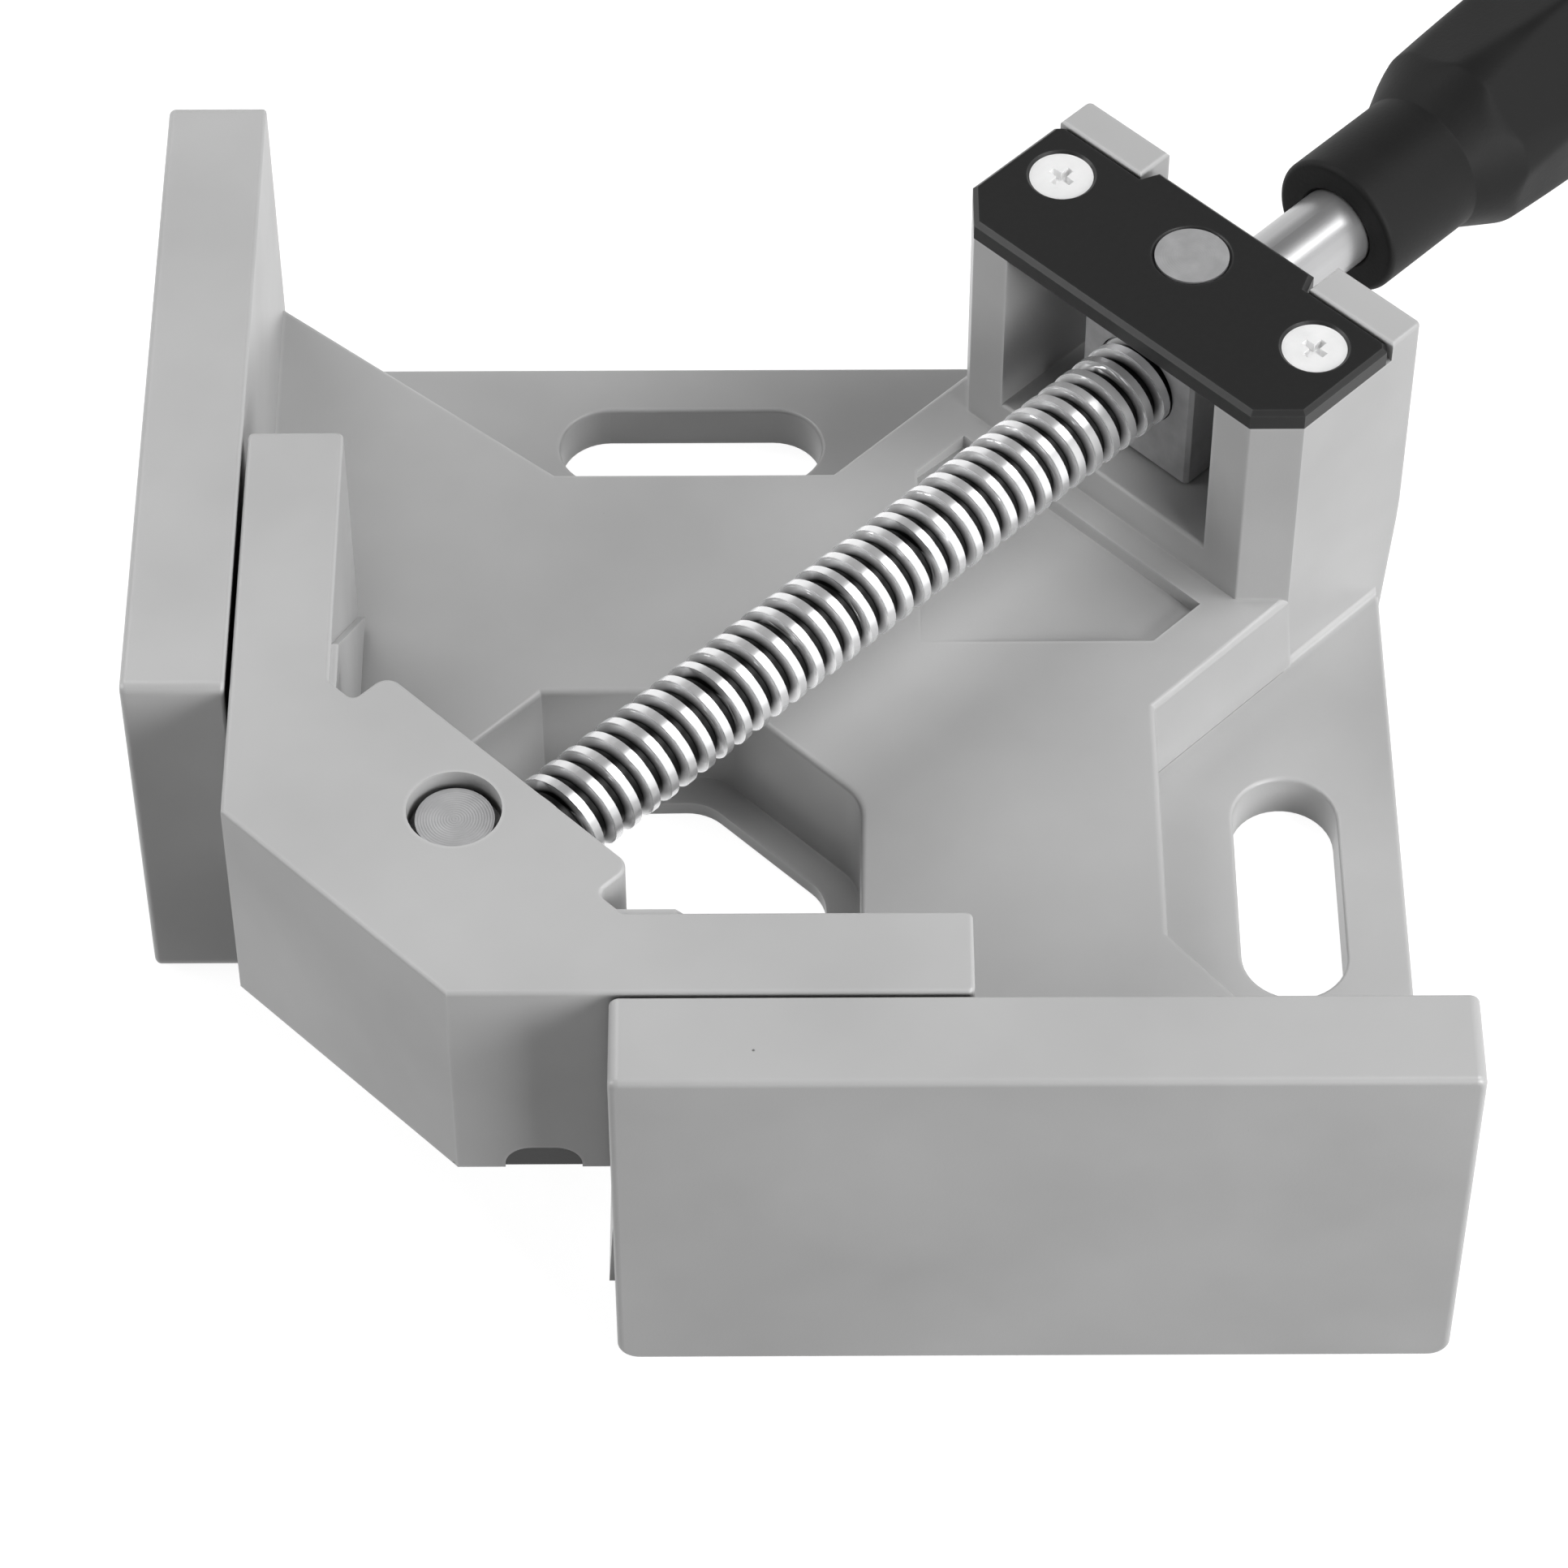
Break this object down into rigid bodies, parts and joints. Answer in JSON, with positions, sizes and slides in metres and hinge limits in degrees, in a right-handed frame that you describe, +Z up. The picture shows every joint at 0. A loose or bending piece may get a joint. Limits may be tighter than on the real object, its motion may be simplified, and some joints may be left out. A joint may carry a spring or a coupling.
{
  "type": "corner clamp",
  "caption": "Right-angle corner clamp: cast corner with fixed jaws, V-shaped moving jaw on a lead screw with swivel nut and black grip.",
  "frame": {"origin": "on the underside, midway between the two mounting slots; the work corner, where the planes of the two fixed faces meet, is 124.8 mm from it along -X", "axes": "+X along the lead screw from the work corner towards the handle, +Y towards the left jaw, +Z up from the underside"},
  "size_m": [0.2648, 0.2134, 0.0524],
  "materials": {
    "cast_aluminium": "satin cast",
    "black_coated_steel": "satin black",
    "zinc_plated_steel": "bright plated",
    "chromed_screw_steel": "bright",
    "machined_steel": "turned",
    "black_moulded_plastic": "satin"
  },
  "bodies": {
    "base": {"body_casting": "cast_aluminium", "post_cover_plate": "black_coated_steel", "cover_plate_screws": "zinc_plated_steel"},
    "nut": {"swivel_nut": "machined_steel"},
    "carriage": {"jaw_pivot_block": "machined_steel", "screw_thrust_washer": "machined_steel"},
    "screw": {"lead_screw": "chromed_screw_steel", "screw_retaining_ring": "machined_steel", "handle_grip": "black_moulded_plastic"},
    "jaw": {"moving_jaw": "cast_aluminium", "jaw_bottom_plate": "black_coated_steel", "bottom_plate_screws": "zinc_plated_steel"}
  },
  "joints": [
    {"name": "nut_swivel", "type": "hinge", "parent": "base", "child": "nut", "pos_m": [0.0355, 0, 0.0368], "axis": [0, 0, 1], "range_deg": [-0.25, 0.25]},
    {"name": "jaw_feed", "type": "slide", "parent": "nut", "child": "carriage", "axis": [1, 0, 0], "range_m": [0, 0.096]},
    {"name": "screw_spin", "type": "hinge", "parent": "carriage", "child": "screw", "pos_m": [-0.087, 0, 0.0368], "axis": [1, 0, 0], "range_deg": [0, 11521]},
    {"name": "jaw_swivel", "type": "hinge", "parent": "carriage", "child": "jaw", "pos_m": [-0.087, 0, 0.0368], "axis": [0, 0, 1], "range_deg": [-0.25, 0.25]}
  ],
  "couplings": [
    {"joint": "screw_spin", "follows": "jaw_feed", "rad_per_m": 2094.4}
  ]
}
